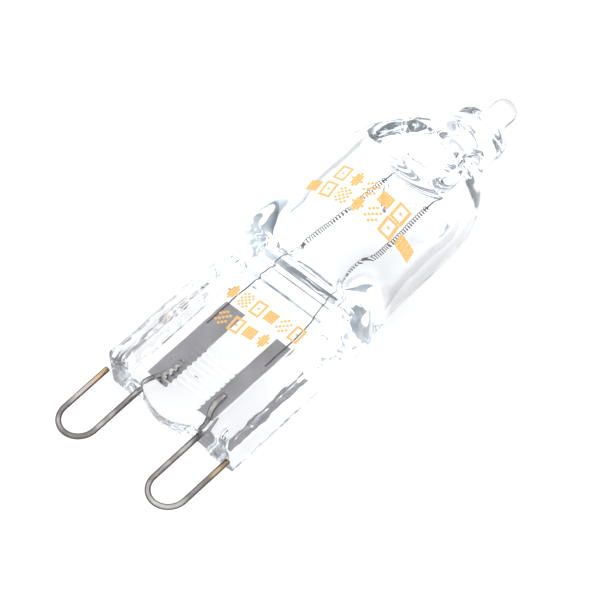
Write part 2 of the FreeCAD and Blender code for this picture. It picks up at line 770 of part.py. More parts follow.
rest = resting_placement()
for body in (*inside, glass_blank, bulb_hollow):
    body.Placement = rest
doc.recompute()

# Checks and export

pieces = (glass, *inside)
for item in doc.Objects:
    if "Invalid" in item.State or "Error" in item.State:
        raise RuntimeError(f"{item.Name} failed: {item.State}")
for piece in pieces:
    if piece.Shape.isNull() or not piece.Shape.isValid() or len(piece.Shape.Solids) != 1:
        raise RuntimeError(f"{piece.Label} is not one valid solid")
os.makedirs("parts", exist_ok=True)
for piece in pieces:
    piece.Shape.exportStep(f"parts/{piece.Label}.step")
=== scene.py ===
import json
import math

import bmesh
import bpy
import numpy as np
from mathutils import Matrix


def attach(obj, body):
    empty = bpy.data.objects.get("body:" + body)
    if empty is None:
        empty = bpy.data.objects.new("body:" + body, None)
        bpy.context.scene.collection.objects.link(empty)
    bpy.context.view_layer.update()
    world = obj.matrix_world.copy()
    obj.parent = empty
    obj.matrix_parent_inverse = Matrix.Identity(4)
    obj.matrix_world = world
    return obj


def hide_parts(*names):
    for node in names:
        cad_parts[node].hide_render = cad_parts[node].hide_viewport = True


# A mains halogen capsule lamp lying on a pale studio table. The clear quartz envelope, the contact
# loops, the coiled filament and the ink marks are smooth surfaces worked out from the lamp's own
# dimensions. The sealing foils and inner leads are the frame's own nodes with a finish on them.

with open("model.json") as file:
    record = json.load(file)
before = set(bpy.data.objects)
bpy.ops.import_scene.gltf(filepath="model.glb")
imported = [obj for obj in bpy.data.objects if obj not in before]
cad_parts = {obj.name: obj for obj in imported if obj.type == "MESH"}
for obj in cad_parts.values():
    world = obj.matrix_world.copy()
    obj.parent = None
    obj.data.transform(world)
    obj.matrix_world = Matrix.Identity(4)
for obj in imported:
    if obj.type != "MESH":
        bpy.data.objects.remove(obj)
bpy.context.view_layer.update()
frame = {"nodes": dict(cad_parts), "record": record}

# Dimensions of the lamp in millimetres, along its own axes: X up the lamp from the foot of the
# pinch, Y across it, and Z out of the printed front face. A pair is a start and an end.

MM = 0.001

# Contact loops
WIRE_RADIUS = 0.225
LOOP_MIDDLE = 4.5
HALF_LOOP = 1.525
LOOP_REACH = 6.27
FREE_END = -0.12
FREE_END_ROUNDING = 0.09
CRANK = 0.8
CRANK_START = 0.3
CRANK_RUN = 2.6
WELD_LENGTH = 0.7
WELD_START = 1.33
WELD_FLATTENING = (WELD_START - 0.2, WELD_START + 0.15)
WELD_HALF_DEPTH = 0.155
WELD_STEEPNESS = 1.25

# Pinch: two rails, a web between them, and a rounded lip between the wires
HALF_WIDTH = 6.05
HALF_DEPTH = 2.5
HALF_WEB = 1.2
RAIL_INNER = 3.9
RAIL_CORNER = 0.85
RAIL_INNER_CORNER = 0.3
RAIL_BARREL = 0.1
RAIL_DRAFT = 0.1
WEB_ROOT = 0.5
FOOT_ROUNDING = 1.2
FOOT_EDGE = 0.35
FOOT_FADE = 2.4
HALF_LIP = 2.5
LIP_DEPTH = 0.95
LIP_LEAN = 0.18
NUB_HEIGHT = 9.4
NUB_RADIUS = 0.85
NUB_RISE = 0.28
PRESS_START = 1.0
PRESS_PITCH = 0.5
PRESS_COUNT = 9
PRESS_DEPTH = 0.24
PRESS_SLOPE = 1.6
PRESS_HALF_LENGTH = 2.4
PRESS_MIDDLE = 0.05
PRESS_FADE = 0.9
FIRST_STEP = 12.0
FIRST_RISE = 0.35
SECOND_STEP = 13.3
SECOND_RISE = 0.5
STEP_SLOPE = 0.25
RIPPLE_DEPTH = 0.05
RIPPLE_SIZE = 2.2
RIPPLE_STRETCH = 1.7
RIPPLE_SEED = 1.3
RIPPLE_FADE_IN = (1.0, 2.5)

# Outside of the bulb, from the neck to the exhaust tip
NECK = 14.8
NECK_BLEND = (NECK - 0.7, NECK + 0.7)
NECK_SHIFT = (NECK - 0.8, NECK + 0.8)
NECK_SWELL = 0.2
NECK_TAPER = 6.0
BULB_RADIUS = 5.85
BULB_OFFSET = 0.45
BULB_WALL = 1.0
BULB_SQUARENESS = 4
SHOULDER_START = 14.1
SHOULDER_END = 19.0
SHOULDER_FOOT_ROUND = 1.1
SHOULDER_ROUND = 2.63
SHOULDER_BLEND = 0.1
SHOULDER_LEAVE = (SHOULDER_END - 0.3, SHOULDER_END + 2.0)
DOME_START = 24.9
DOME_FALL = 0.85
COLLAR_START = 32.3
COLLAR_RADIUS = 2.3
COLLAR_STRAIGHT = 33.1
COLLAR_END = 34.8
TIP_RADIUS = 1.025
TIP_END = 36.7
TIP_OFFSET = 0.5
TIP_SHIFT = (COLLAR_START - 1.4, COLLAR_START + 0.4)

# Hollow of the bulb
CAVITY_FOOT = 15.0
CAVITY_HALF_WIDTH = 3.3
CAVITY_ROUNDING = 0.6
CAVITY_CURVE = 1.1
CAVITY_FULL = 19.2
CAVITY_SQUARENESS = 6
CAVITY_BLEND = 0.4
CAVITY_BLEND_RUN = 2.0
SHOULDER_WALL = 0.75
BORE_START = 31.9
BORE_RADIUS = 0.42
BORE_END = 33.5

# Inner leads and filament
LEAD_LEVEL = -0.095
LEAD_RADIUS = 0.06
CROSSING = 27.3
CROSSING_BEND = 0.6
COIL_START = 15.9
COIL_END = 25.4
COIL_RADIUS = 0.21
COIL_WIRE_RADIUS = 0.03
COIL_TURNS = 40
HALF_COIL_FOOT = 2.53
HALF_COIL_HEAD = 2.05

# Dimples: half sizes along and across the lamp at five heights above the floor, which lies
# DIMPLE_FLOOR from the middle of the bridge. The mouth is rounded, and fades out up and down the
# lamp and round the bulb, there by the sine of the angle.
DIMPLE_FLOOR = 0.45
DIMPLE_HEIGHTS = (0.0, 0.25, 2.15, 5.8, 10.4)
DIMPLE_HALF_LENGTHS = (0.55, 0.8, 1.35, 2.5, 4.2)
DIMPLE_HALF_WIDTHS = (1.95, 2.15, 2.65, 3.4, 4.3)
DIMPLE_ROUNDING = 2.0
DIMPLE_FADE = (1.8, 3.9)
DIMPLE_FADE_ROUND = (0.45, 0.7)

# Pillar that the dimples leave in the hollow
PILLAR_HALF_LENGTH = 1.5
PILLAR_HALF_WIDTH = 2.9
PILLAR_SQUARENESS = 3
PILLAR_FLARE = 0.13
PILLAR_FLARE_POWER = 1.3
PILLAR_BLEND = 1.2

# How fine the surfaces are. Each stretch of rows up the envelope has its start, its end and its
# number of rows. Rows over the press lines lie between the first stretch and the others.
FOOT_ROWS = 6
PRESS_ROWS = (0.8, 5.4, PRESS_PITCH / 10)
ROW_STRETCHES = (
    (5.5, 8.4, 5), (8.4, 10.4, 16), (10.4, 11.9, 4), (11.9, 13.7, 24), (13.7, 19.4, 41),
    (19.4, 23.4, 9), (23.4, 31.2, 72), (31.2, COLLAR_START, 5), (COLLAR_START, COLLAR_END, 23),
)
TIP_ROWS = 12
CAP_ROWS = 14
HOLLOW_RAYS = 148
HOLLOW_RAY_POINTS = 70
HOLLOW_RAY_CROWDING = 0.25
LOOP_SIDES = 28
CROSSING_SIDES = 12
COIL_SIDES = 6
COIL_STEPS = 18

# Ink: distance between dots, dots from one shape to the next, and for each dot the radii of its
# rings in dot pitches and how far they stand off the glass
BULB_DOT_PITCH = 0.2
PINCH_DOT_PITCH = 0.19
DOTS_PER_SHAPE = 6.4
DOT_RINGS = np.array([0.62, 0.5, 0.0])
DOT_LIFTS = np.array([0.002, 0.014, 0.018])
DOT_SIDES = 8


# The lamp's place in the frame, from the mount at the foot of its pinch

plug_in_base = frame["record"]["mounts"][0]
FOOT = np.array(plug_in_base["pos_m"])
UP_LAMP = -np.array(plug_in_base["axis"])
ACROSS = np.array([0.0, 1.0, 0.0])
LAMP_AXES = np.array([UP_LAMP, ACROSS, np.cross(UP_LAMP, ACROSS)])


def placed(points):
    """Foot point plus each lamp coordinate, in metres, along its own axis."""
    return FOOT + (points * MM) @ LAMP_AXES


# Shaping functions that work on whole arrays

def steps(start, end, count):
    """Evenly spaced values from start towards end, without the last."""
    return np.linspace(start, end, count, endpoint=False)


def smooth_step(x, start, end):
    """Cubic that rises from 0 at start to 1 at end and is level at both."""
    t = np.clip((x - start) / (end - start), 0, 1)
    return t * t * (3 - 2 * t)


def soft_min(a, b, reach):
    """Half the sum, less half the root of the difference squared plus reach squared."""
    return (a + b - np.sqrt((a - b) ** 2 + reach ** 2)) / 2


def s_bend(x, start, end, low, high):
    """Two equal arcs, level at both ends, whose radius is (run^2 + rise^2) / (4 rise)."""
    rise = abs(high - low)
    radius = ((end - start) ** 2 + rise ** 2) / (4 * rise)
    x = np.clip(x, start, end)
    first = radius - np.sqrt(radius ** 2 - np.minimum(x - start, (end - start) / 2) ** 2)
    second = radius - np.sqrt(radius ** 2 - np.minimum(end - x, (end - start) / 2) ** 2)
    share = np.where(x < (start + end) / 2, first, rise - second) / rise
    return low + (high - low) * share


def ripple(x, y, size, seed):
    """A quarter of the sum of four sines, each 2.4 radians further round and 0.37 sizes longer."""
    total = 0.0
    for k in range(4):
        turn = seed + 2.4 * k
        along = x * math.cos(turn) + y * math.sin(turn)
        total = total + np.sin(along * 2 * math.pi / (size * (1 + 0.37 * k)) + seed * (k + 1))
    return total / 4


# Grids of points made into meshes

def grid_faces(rows, columns, closed_rows=False):
    """Quads between each row and the next, with the columns closed into a ring."""
    strips = rows if closed_rows else rows - 1
    i, j = np.meshgrid(np.arange(strips), np.arange(columns), indexing="ij")
    down, right = (i + 1) % rows, (j + 1) % columns
    corners = (i * columns + j, i * columns + right, down * columns + right, down * columns + j)
    return np.stack(corners, axis=-1).reshape(-1, 4)


def signed_volume(points, faces):
    """A sixth of the sum of triple products over both triangles of each quad."""
    a, b, c, d = (points[faces[:, k]] for k in range(4))
    triple = (a * np.cross(b, c)).sum() + (a * np.cross(c, d)).sum()
    return triple / 6


def shell(grid, closed_rows=False, inward=False):
    """One closed sheet: its points, and its faces turned outwards, or inwards for a hollow."""
    points = placed(grid.reshape(-1, 3))
    faces = grid_faces(grid.shape[0], grid.shape[1], closed_rows)
    if (signed_volume(points - points.mean(axis=0), faces) < 0) != inward:
        faces = faces[:, ::-1]
    return points, faces


def add_piece(name, shells, finish, replaced=()):
    """A mesh of one or more shells, welded at poles and seams, that rides on the lamp."""
    points = np.concatenate([points for points, faces in shells])
    starts = np.cumsum([0] + [len(points) for points, faces in shells[:-1]])
    faces = np.concatenate([faces + start for (points, faces), start in zip(shells, starts)])
    mesh = bpy.data.meshes.new(name)
    mesh.from_pydata(points, [], faces)
    weld = bmesh.new()
    weld.from_mesh(mesh)
    bmesh.ops.remove_doubles(weld, verts=weld.verts, dist=1e-8)
    weld.to_mesh(mesh)
    weld.free()
    mesh.polygons.foreach_set("use_smooth", np.ones(len(mesh.polygons), dtype=bool))
    mesh.materials.append(finish)
    piece = bpy.data.objects.new(name, mesh)
    bpy.context.scene.collection.objects.link(piece)
    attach(piece, "root")
    if replaced:
        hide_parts(*replaced)
    return piece


# Finishes, written as expressions on node sockets

class Socket:
    """The output of a node, on which the usual operators add Math nodes."""

    def __init__(self, finish, output):
        self.finish = finish
        self.output = output

    def _math(self, operation, first, second):
        return self.finish.node("ShaderNodeMath", {"operation": operation}, {0: first, 1: second})

    def __add__(self, other):
        return self._math("ADD", self, other)

    def __radd__(self, other):
        return self._math("ADD", other, self)

    def __sub__(self, other):
        return self._math("SUBTRACT", self, other)

    def __rsub__(self, other):
        return self._math("SUBTRACT", other, self)

    def __mul__(self, other):
        return self._math("MULTIPLY", self, other)

    def __rmul__(self, other):
        return self._math("MULTIPLY", other, self)

    def __pow__(self, other):
        return self._math("POWER", self, other)


class Finish:
    """A material whose shader's fixed values are set on its own sockets."""

    def __init__(self, name, **fixed):
        self.material = bpy.data.materials.new(name)
        self.material.use_nodes = True
        self.tree = self.material.node_tree
        self.shader = self.tree.nodes["Principled BSDF"]
        for socket, value in fixed.items():
            self.shader.inputs[socket.replace("_", " ")].default_value = value

    def node(self, kind, settings=None, values=None, output=0):
        """A new node: its settings are set first, then the values or links of its sockets."""
        made = self.tree.nodes.new(kind)
        for name, value in (settings or {}).items():
            setattr(made, name, value)
        for key, value in (values or {}).items():
            if isinstance(value, Socket):
                self.tree.links.new(value.output, made.inputs[key])
            else:
                made.inputs[key].default_value = value
        return Socket(self, made.outputs[output])

    def place(self):
        """Object coordinates in millimetres."""
        here = self.node("ShaderNodeTexCoord", output="Object")
        return self.node("ShaderNodeVectorMath", {"operation": "SCALE"}, {0: here, "Scale": 1 / MM})

    def lamp_height(self):
        """Distance above the foot of the pinch, in millimetres."""
        shifted = self.node(
            "ShaderNodeVectorMath", {"operation": "SUBTRACT"},
            {0: self.place(), 1: tuple(FOOT / MM)})
        return self.node(
            "ShaderNodeVectorMath", {"operation": "DOT_PRODUCT"}, {0: shifted, 1: tuple(UP_LAMP)},
            "Value")

    def across(self):
        """Distance across the lamp, in millimetres, more than 0 on the left."""
        return self.node("ShaderNodeSeparateXYZ", {}, {0: self.place()}, "Y")

    def facing(self, direction):
        """Cosine between the surface's normal and a direction that is fixed in the frame."""
        normal = self.node("ShaderNodeTexCoord", output="Normal")
        return self.node(
            "ShaderNodeVectorMath", {"operation": "DOT_PRODUCT"}, {0: normal, 1: direction},
            "Value")

    def noise(self, size, detail=2.0, stretch=(1.0, 1.0, 1.0)):
        """Cloudy values from 0 to 1 with lumps of about this size in millimetres."""
        where = self.node(
            "ShaderNodeVectorMath", {"operation": "MULTIPLY"}, {0: self.place(), 1: stretch})
        return self.node(
            "ShaderNodeTexNoise", {}, {"Vector": where, "Scale": 1 / size, "Detail": detail})

    def between(self, value, start, end, low=0.0, high=1.0):
        """Value carried smoothly from the range start-end to low-high and held there."""
        return self.node(
            "ShaderNodeMapRange", {"interpolation_type": "SMOOTHSTEP"},
            {"Value": value, "From Min": start, "From Max": end, "To Min": low, "To Max": high})

    def fall(self, value, start, end):
        """Share that goes from 1 to 0 as the value goes from start to end."""
        return self.between(value, start, end, 1.0, 0.0)

    def blend(self, share, first, second):
        """Colour that goes from first to second as share goes from 0 to 1."""
        return self.node(
            "ShaderNodeMix", {"data_type": "RGBA"}, {0: share, 6: first, 7: second}, 2)

    def feed(self, socket, value):
        """Lets the value drive one of the shader's sockets."""
        self.tree.links.new(value.output, self.shader.inputs[socket])

    def bumps(self, height, depth):
        """Relief of this depth in millimetres."""
        self.feed("Normal", self.node(
            "ShaderNodeBump", {}, {"Height": height, "Distance": depth * MM, "Strength": 1.0}))


# Zones of painted shade and painted light on the glass: heights up the lamp or distances across it
# in millimetres, and cosines with a direction out of the front that leans to the foot and the right
GLASS_FRONT = (-0.38, -0.43, 0.82)
STEEP = (0.42, 0.62)
STEEP_SQUARED = (0.04, 0.42)
PRESSED_ZONE = (12.0, 17.0)
NECK_FOOT, NECK_HEAD = (11.6, 12.4), (14.6, 15.6)
CORNER_FOOT, CORNER_HEAD = (12.9, 13.8), (15.6, 17.6)
CORNER_SQUARED_DISTANCE = (13.0, 21.0)
LEFT_CORNER_ZONE = (2.6, 3.6)
LEFT_CORNER_RISE = 2.4
SHOULDER_ZONE = (15.5, 18.0)
RIGHT_ZONE = (-3.6, -1.6)
DOME_ZONE = (23.8, 26.6)
COLLAR_FOOT_ZONE = (31.0, 32.5)
COLLAR_HEAD_ZONE = (34.5, 35.1)
TIP_ZONE = (35.7, 36.1)

CLEAR_GLASS = (0.985, 0.992, 1.0, 1)
PAINTED_GREY_SHADE = (0.66, 0.665, 0.68, 1)
PAINTED_DARK_SHADE = (0.16, 0.165, 0.18, 1)
NO_LIGHT = (0.0, 0.0, 0.0, 1)
COOL_LIGHT = (0.80, 0.90, 1.0, 1)

# Shares of painted light: on the pinch, how much the bulb and its painted grey shade lose, and how
# much the dome, the neck and the corners gain, these between a least and a most
PINCH_GLOW = 0.022
BULB_LOSS = 0.016
GREY_LOSS = 0.85
DOME_GAIN = 0.05
NECK_GAIN = 0.14
CORNER_GAIN = (0.18, 0.34)


def quartz_finish():
    """Clear fire-polished quartz, a little uneven where the press has touched it.

    Glass that turns away from a fixed direction out of the front is painted with shade: grey on the
    right of the bulb and dark round the collar and the tip, whose end is painted grey all over. A
    small light of its own, painted on as a glow, stands for the many inner reflections that the
    renderer cuts short, and gives painted highlights on the dome, the neck and the corners.
    """
    finish = Finish(
        "clear_quartz", Transmission_Weight=1.0, IOR=1.458, Roughness=0.0,
        Emission_Strength=1.0)
    height = finish.lamp_height()
    across = finish.across()
    turned = finish.facing(GLASS_FRONT)
    shoulder = finish.between(height, *SHOULDER_ZONE)
    collar_head = finish.between(height, *COLLAR_HEAD_ZONE)

    # Painted shade: grey where the glass turns away from the fixed front direction on the right of
    # the shoulder and bulb, and over the whole end of the tip.
    painted_grey = finish.fall(turned, *STEEP) * finish.fall(across, *RIGHT_ZONE) * shoulder
    painted_grey = painted_grey + finish.between(height, *TIP_ZONE) * (1 - painted_grey)
    # Painted shade: dark edges round the collar, faint at its foot and strong at its head, where
    # the glass turns steeply away from the fixed front direction.
    edge = finish.fall(turned ** 2.0, *STEEP_SQUARED) * (
        finish.between(height, *COLLAR_FOOT_ZONE) * 0.2 + collar_head * 0.8)
    toned = finish.blend(painted_grey, CLEAR_GLASS, PAINTED_GREY_SHADE)
    finish.feed("Base Color", finish.blend(edge, toned, PAINTED_DARK_SHADE))

    left_rise = LEFT_CORNER_RISE * finish.between(across, *LEFT_CORNER_ZONE)
    corner = finish.between(across ** 2.0, *CORNER_SQUARED_DISTANCE)
    corner = corner * finish.between(height, *CORNER_FOOT)
    corner = corner * finish.fall(height - left_rise, *CORNER_HEAD)
    neck = finish.between(height, *NECK_FOOT) * finish.fall(height, *NECK_HEAD)
    # Painted light: a faint cool glow on the glass, less on the bulb and where it is painted grey,
    # none past the collar's head, and brighter on the dome, the neck and in patches at the corners.
    glow = PINCH_GLOW - shoulder * BULB_LOSS + finish.between(height, *DOME_ZONE) * DOME_GAIN
    glow = glow * (1 - painted_grey * GREY_LOSS) * (1 - collar_head) + neck * NECK_GAIN
    glow = glow + corner * finish.between(finish.noise(0.8), 0.3, 0.7, *CORNER_GAIN)
    finish.feed("Emission Color", finish.blend(glow, NO_LIGHT, COOL_LIGHT))

    pressed = finish.between(height, *PRESSED_ZONE, 1.0, 0.12)
    finish.bumps(finish.noise(1.4, 1.0) * pressed, 0.10)
    return finish.material


# Wires: the heights up the lamp over which the heat tint comes, the squared distances across it
# that part the outer legs from the inner ones, and the direction and cosines of the painted
# highlight along the middle and the painted shade on the flanks
HEAT_ZONE = (-3.2, -0.8)
OUTER_LEG_SQUARED_DISTANCE = (16.0, 24.0)
WIRE_HIGHLIGHT_DIRECTION = (-0.42, -0.36, 0.83)
HIGHLIGHT_ZONE = (0.60, 0.93)


def contact_wire_finish():
    """Drawn wire with fine draw marks, straw-brown on the free outer legs, with painted shade on
    the flanks and a painted highlight along the middle, dimmed in random patches.
    """
    finish = Finish("drawn_contact_wire", Metallic=1.0)
    height = finish.lamp_height()
    drawn = finish.noise(0.35, 3.0, (0.25, 1.0, 1.0))
    steel = finish.blend(drawn, (0.44, 0.42, 0.41, 1), (0.66, 0.64, 0.62, 1))
    tinted = finish.blend(drawn, (0.55, 0.36, 0.18, 1), (0.70, 0.50, 0.30, 1))
    outer_leg = finish.between(finish.across() ** 2.0, *OUTER_LEG_SQUARED_DISTANCE)
    heated = finish.between(height, *HEAT_ZONE) * outer_leg
    # Painted shade and highlight: near black where the wire turns away from a fixed direction out
    # of the front, its own colour where it faces it, and the light part dimmed in random patches.
    painted_highlight = finish.between(finish.facing(WIRE_HIGHLIGHT_DIRECTION), *HIGHLIGHT_ZONE)
    painted_highlight = painted_highlight * finish.between(finish.noise(2.6), 0.38, 0.6, 0.3, 1.0)
    finish.feed("Base Color", finish.blend(
        painted_highlight, (0.085, 0.07, 0.07, 1), finish.blend(heated, steel, tinted)))
    finish.feed("Roughness", finish.between(drawn, 0.3, 0.7, 0.14, 0.24))
    finish.bumps(finish.noise(0.08, 2.0, (0.15, 1.0, 1.0)), 0.004)
    return finish.material


def foil_finish():
    """Matt rolled foil, darker in cloudy patches and along fine rolling lines."""
    finish = Finish("matt_foil", Metallic=0.85)
    clouds = finish.noise(0.9, 4.0)
    rolled = finish.noise(0.12, 2.0, (0.1, 1.0, 1.0))
    finish.feed("Base Color", finish.blend(
        clouds * 0.6 + rolled * 0.4, (0.30, 0.29, 0.31, 1), (0.46, 0.45, 0.475, 1)))
    finish.feed("Roughness", finish.between(clouds, 0.3, 0.7, 0.42, 0.6))
    finish.bumps(clouds * 0.7 + rolled * 0.3, 0.03)
    return finish.material


def tungsten_finish(name, light, dark):
    """Dark drawn tungsten with small changes of tone."""
    finish = Finish(name, Metallic=0.9)
    tone = finish.noise(0.5, 3.0)
    finish.feed("Base Color", finish.blend(tone, dark, light))
    finish.feed("Roughness", finish.between(tone, 0.3, 0.7, 0.3, 0.45))
    return finish.material


def ink_finish():
    """Orange stamping ink, fired on, thin and a little patchy."""
    finish = Finish("orange_ink")
    patchy = finish.noise(0.28, 3.0)
    finish.feed("Base Color", finish.blend(patchy, (0.93, 0.40, 0.06, 1), (0.97, 0.66, 0.27, 1)))
    finish.feed("Roughness", finish.between(patchy, 0.3, 0.7, 0.45, 0.65))
    return finish.material


# Radius of the bulb, dome, collar and exhaust tip along the lamp

def dome_round(radius, fall):
    """Length of a round dome that has fallen in by this much from its full radius."""
    return math.sqrt(fall * (2 * radius - fall))


def envelope_radius(x):
    """Tube with a small swell at the neck, round dome, cone, straight collar, rod and round end.

    Each round end is the root of its radius squared less the distance past its middle squared.
    """
    tube = BULB_RADIUS + NECK_SWELL * np.clip(1 - (x - NECK) / NECK_TAPER, 0, 1)
    round_end = DOME_START + dome_round(BULB_RADIUS, DOME_FALL)
    dome = np.sqrt(np.maximum(BULB_RADIUS ** 2 - np.maximum(x - DOME_START, 0) ** 2, 0))
    cone = np.interp(x, (round_end, COLLAR_START), (BULB_RADIUS - DOME_FALL, COLLAR_RADIUS))
    collar = s_bend(x, COLLAR_STRAIGHT, COLLAR_END, COLLAR_RADIUS, TIP_RADIUS)
    tip = np.sqrt(np.maximum(TIP_RADIUS ** 2 - np.maximum(x - TIP_END + TIP_RADIUS, 0) ** 2, 0))
    radius = np.where(x < DOME_START, tube, np.where(x < round_end, dome, cone))
    radius = np.where(x < COLLAR_START, radius, collar)
    return np.where(x < COLLAR_END, radius, tip)


def envelope_offset(x):
    """Middle of the envelope across the lamp: pinch, then bulb, then exhaust tip."""
    return BULB_OFFSET * smooth_step(x, *NECK_SHIFT) - TIP_OFFSET * smooth_step(x, *TIP_SHIFT)


def shoulder_height(x, wall=0.0):
    """Front and back of the shoulder, or the line one wall inside it: arc, slope at 45 deg, arc.

    Set back by a wall, the hollow arc's radius grows by it and the full arc's radius shrinks. Past
    its end the line rises clear of the bulb by 1 mm, so that the bulb's own radius takes over.
    """
    full = SHOULDER_ROUND - wall
    hollow = SHOULDER_FOOT_ROUND + wall
    turn = np.linspace(0, math.pi / 4, 40)
    line_x = np.concatenate([
        SHOULDER_START + hollow * np.sin(turn), SHOULDER_END - full * np.sin(turn[::-1])])
    line_z = np.concatenate([
        HALF_DEPTH - wall + hollow * (1 - np.cos(turn)),
        BULB_RADIUS - wall - full * (1 - np.cos(turn[::-1]))])
    return np.interp(x, line_x, line_z) + smooth_step(x, *SHOULDER_LEAVE)


def web_level(x):
    """Front of the web, with its two steps below the neck."""
    first = FIRST_RISE * smooth_step(x, FIRST_STEP, FIRST_STEP + STEP_SLOPE)
    second = SECOND_RISE * smooth_step(x, SECOND_STEP, SECOND_STEP + STEP_SLOPE)
    return HALF_WEB + first + second


def dimple_height(x, y):
    """Height of the dimple's side: root of the squared heights that its length and width ask."""
    along = np.interp(abs(x - CROSSING), DIMPLE_HALF_LENGTHS, DIMPLE_HEIGHTS)
    across = np.interp(abs(y - BULB_OFFSET), DIMPLE_HALF_WIDTHS, DIMPLE_HEIGHTS)
    return DIMPLE_FLOOR + np.hypot(along, across)


def bulb_section(x):
    """Half width, half depth and exponent of the bulb's section, a circle above the shoulder.

    The exponent is 2 plus the squareness times the 1.5th power of how flat the section still is.
    """
    wide = envelope_radius(np.maximum(x, NECK))
    deep = np.where(x < DOME_START, soft_min(shoulder_height(x), wide, SHOULDER_BLEND), wide)
    flat = np.clip((BULB_RADIUS - deep) / (BULB_RADIUS - HALF_DEPTH), 0, 1)
    square = 2 + BULB_SQUARENESS * flat ** 1.5
    return wide, deep, np.where(x < DOME_START, square, 2.0)


def bulb_front(x, y):
    """Height of the bulb's outer face: depth times the root of 1 less the share across."""
    wide, deep, square = bulb_section(x)
    share = np.clip(abs(y - envelope_offset(x)) / wide, 0, 1)
    return deep * (1 - share ** square) ** (1 / square)


def web_front(x, y):
    """Height of the web's outer face, the same all across it."""
    return web_level(x)


# The quartz envelope: cross-sections carried up the lamp

def pinch_quarter():
    """A quarter of the pinch's section, from the middle of a rail's side to the web's middle.

    Gives the place across, the height above the middle, the share of that height that belongs to
    the web, and the angle that the same column takes round the bulb.
    """
    quarter_turn = math.pi / 2
    below_corner = HALF_DEPTH - RAIL_CORNER
    side = steps(0, below_corner, 8)
    corner = steps(0, quarter_turn, 7)
    side_y = HALF_WIDTH - RAIL_BARREL * (side / below_corner) ** 2
    outer = HALF_WIDTH - RAIL_BARREL - RAIL_CORNER
    inner = RAIL_INNER + RAIL_DRAFT
    top_y = steps(outer, inner + RAIL_INNER_CORNER, 5)
    bend = steps(0, quarter_turn, 4)
    wall = steps(0, 1, 3)
    root = steps(0, quarter_turn, 5)
    web_y = np.linspace(RAIL_INNER - WEB_ROOT, 0, 27)
    wall_top = HALF_DEPTH - RAIL_INNER_CORNER
    y = np.concatenate([
        side_y, outer + RAIL_CORNER * np.cos(corner), top_y,
        inner + RAIL_INNER_CORNER * (1 - np.sin(bend)), inner - RAIL_DRAFT * wall,
        RAIL_INNER - WEB_ROOT * (1 - np.cos(root)), web_y])
    z = np.concatenate([
        side, below_corner + RAIL_CORNER * np.sin(corner), np.full_like(top_y, HALF_DEPTH),
        wall_top + RAIL_INNER_CORNER * np.cos(bend), wall_top * (1 - wall),
        WEB_ROOT * (1 - np.sin(root)), np.zeros_like(web_y)])
    on_rail = len(side) + len(corner) + len(top_y) + len(bend)
    on_web = len(root) + len(web_y)
    web_share = np.concatenate([np.zeros(on_rail), wall, np.ones(on_web)])
    lift = np.concatenate([np.zeros(on_rail), WEB_ROOT * wall, np.zeros(on_web)])
    face_angle = math.acos((RAIL_INNER - WEB_ROOT) / BULB_RADIUS)
    angle = np.concatenate([
        steps(0, face_angle, on_rail + len(wall) + len(root)),
        quarter_turn - (quarter_turn - face_angle) * web_y / web_y[0]])
    return y, z + lift, web_share, angle


def all_round(quarter, mirror_y=1, mirror_z=1):
    """Four mirrored copies of a quarter's column values, as one ring."""
    first, back = quarter[:-1], quarter[:0:-1]
    return np.concatenate([first, mirror_y * back, mirror_y * mirror_z * first, mirror_z * back])


def foot_height(y, z):
    """How far above the foot the pinch ends: round feet and edges, and the web's rounded lip.

    Each rounding is the radius less the root of the radius squared less the distance squared. The
    lip is an arc, a little longer towards the front.
    """
    def rounding(distance, radius):
        return radius - np.sqrt(radius ** 2 - np.clip(distance, 0, radius) ** 2)

    feet = rounding(abs(z) - (HALF_DEPTH - FOOT_ROUNDING), FOOT_ROUNDING)
    sides = rounding(abs(y) - (HALF_WIDTH - FOOT_EDGE), FOOT_EDGE)
    bow = (HALF_LIP ** 2 + LIP_DEPTH ** 2) / (2 * LIP_DEPTH)
    lip = np.sqrt(bow ** 2 - np.minimum(abs(y), HALF_LIP) ** 2) - (bow - LIP_DEPTH)
    on_web = 1 - smooth_step(abs(y), RAIL_INNER - 2 * WEB_ROOT, RAIL_INNER)
    edge = rounding(abs(z) - (HALF_WEB - FOOT_EDGE), FOOT_EDGE)
    lean = 1 - LIP_LEAN + LIP_LEAN * z / HALF_WEB
    return feet * (1 - on_web) + sides - lip * lean * on_web + edge * on_web


def row_heights():
    """Heights of the rows up the lamp, closer together where the form changes quickly."""
    tip_middle = TIP_END - TIP_RADIUS
    tip_turn = np.linspace(0, math.pi / 2, TIP_ROWS + 1)[1:]
    return np.concatenate([
        steps(0.0, PRESS_ROWS[0], FOOT_ROWS), np.arange(*PRESS_ROWS),
        *(steps(*stretch) for stretch in ROW_STRETCHES), np.linspace(COLLAR_END, tip_middle, 5),
        tip_middle + TIP_RADIUS * np.sin(tip_turn)])


